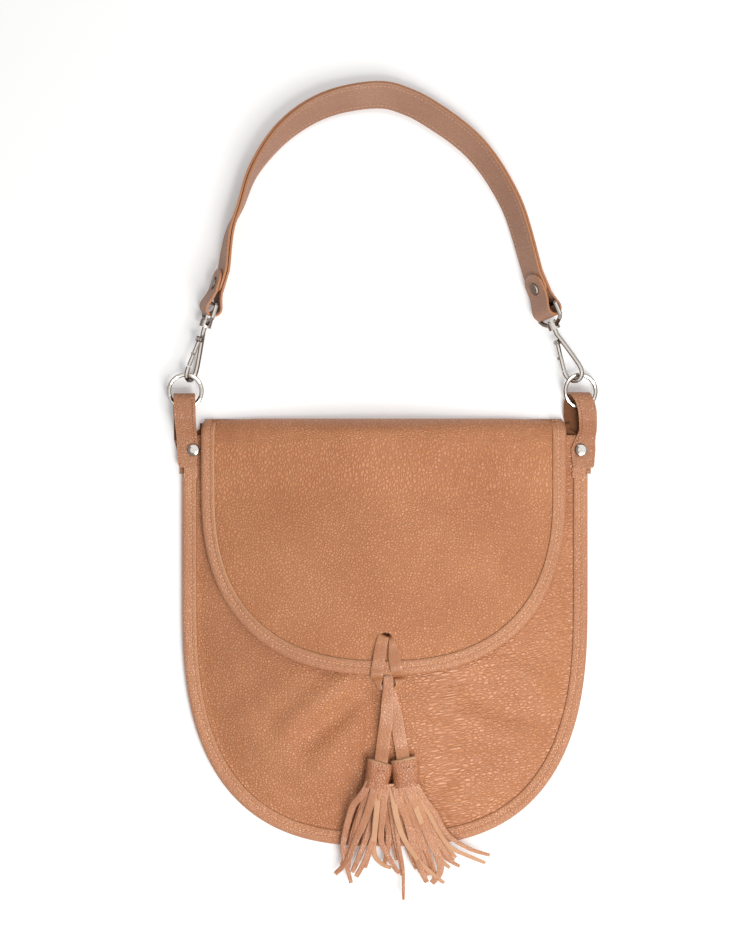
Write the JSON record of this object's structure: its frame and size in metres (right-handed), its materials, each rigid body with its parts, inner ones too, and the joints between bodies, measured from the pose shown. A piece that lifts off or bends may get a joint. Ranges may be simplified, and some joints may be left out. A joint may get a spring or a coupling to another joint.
{
  "type": "shoulder bag",
  "caption": "Tan leather shoulder bag with a bound flap, a hitched lace with two tassels, and a clip-on strap handle on rings",
  "frame": {"origin": "middle of the flat back, on the surface that the bag lies on", "axes": "+X to the bag's right as seen from the front, +Y towards the handle, +Z out of the front"},
  "size_m": [0.3031, 0.5857, 0.0374],
  "materials": {
    "tan_leather": "smooth",
    "pale_leather": "smooth",
    "lace_leather": "smooth",
    "fringe_leather": "brushed",
    "strap_leather": "smooth",
    "suede": "matte",
    "nickel": "polished"
  },
  "bodies": {
    "bag": {"back_panel": "tan_leather", "front_panel": "tan_leather", "front_lining": "suede", "back_lining": "suede", "edge_binding": "pale_leather", "mouth_binding": "pale_leather", "left_tab": "tan_leather", "right_tab": "tan_leather", "left_tab_rivet_cap": "nickel", "left_tab_rivet_post": "nickel", "right_tab_rivet_cap": "nickel", "right_tab_rivet_post": "nickel", "snap_socket": "nickel"},
    "flap": {"flap_panel": "tan_leather", "flap_lining": "suede", "flap_binding": "pale_leather", "snap_stud": "nickel", "hitch_loop": "lace_leather"},
    "lace": {"left_lace": "lace_leather", "right_lace": "lace_leather"},
    "left_tassel": {"left_tassel_head": "lace_leather", "left_fringe": "fringe_leather"},
    "right_tassel": {"right_tassel_head": "lace_leather", "right_fringe": "fringe_leather"},
    "left_ring": {"left_ring": "nickel"},
    "right_ring": {"right_ring": "nickel"},
    "handle": {"strap_outer": "strap_leather", "strap_inner": "strap_leather", "left_strap_rivet_cap": "nickel", "left_strap_rivet_post": "nickel", "right_strap_rivet_cap": "nickel", "right_strap_rivet_post": "nickel", "left_clip_eye": "nickel", "right_clip_eye": "nickel"},
    "left_hook": {"left_clip_hook": "nickel", "left_gate_pin": "nickel"},
    "right_hook": {"right_clip_hook": "nickel", "right_gate_pin": "nickel"},
    "left_gate": {"left_clip_gate": "nickel"},
    "right_gate": {"right_clip_gate": "nickel"}
  },
  "joints": [
    {"name": "flap_open", "type": "hinge", "parent": "bag", "child": "flap", "pos_m": [0, 0.15005, 0.0016], "axis": [-1, 0, 0], "range_deg": [0, 90]},
    {"name": "tassel_lift", "type": "hinge", "parent": "flap", "child": "lace", "pos_m": [0, -0.0294, 0.03017], "axis": [-1, 0, 0], "range_deg": [0, 45]},
    {"name": "left_tassel_swing", "type": "hinge", "parent": "lace", "child": "left_tassel", "pos_m": [-0.0041, -0.0918, 0.02526], "axis": [0, 0, 1], "range_deg": [-20, 0]},
    {"name": "right_tassel_swing", "type": "hinge", "parent": "lace", "child": "right_tassel", "pos_m": [0.0135, -0.0897, 0.02552], "axis": [0, 0, 1], "range_deg": [0, 20]},
    {"name": "handle_lift", "type": "hinge", "parent": "bag", "child": "handle", "pos_m": [0, 0.1584, 0.01], "axis": [-1, 0, 0], "range_deg": [-120, 0]},
    {"name": "left_ring_turn", "type": "hinge", "parent": "bag", "child": "left_ring", "pos_m": [0, 0.1584, 0.01], "axis": [-1, 0, 0], "range_deg": [-120, 0]},
    {"name": "right_ring_turn", "type": "hinge", "parent": "bag", "child": "right_ring", "pos_m": [0, 0.1584, 0.01], "axis": [-1, 0, 0], "range_deg": [-120, 0]},
    {"name": "left_swivel_turn", "type": "hinge", "parent": "handle", "child": "left_hook", "pos_m": [-0.12632, 0.21468, 0.01254], "axis": [0.2972, 0.9521, 0.0716], "range_deg": [-15, 15]},
    {"name": "left_gate_open", "type": "hinge", "parent": "left_hook", "child": "left_gate", "pos_m": [-0.12985, 0.20615, 0.01393], "axis": [0.8767, -0.3019, 0.3745], "range_deg": [0, 20], "stiffness_Nm_per_rad": 0.02},
    {"name": "right_swivel_turn", "type": "hinge", "parent": "handle", "child": "right_hook", "pos_m": [0.11919, 0.21312, 0.0124], "axis": [-0.3882, 0.9212, 0.0271], "range_deg": [-30, 0]},
    {"name": "right_gate_open", "type": "hinge", "parent": "right_hook", "child": "right_gate", "pos_m": [0.12102, 0.20408, 0.01093], "axis": [-0.5065, -0.2378, 0.8288], "range_deg": [0, 20], "stiffness_Nm_per_rad": 0.02}
  ],
  "couplings": [
    {"joint": "left_ring_turn", "follows": "handle_lift", "ratio": 1},
    {"joint": "right_ring_turn", "follows": "handle_lift", "ratio": 1}
  ]
}
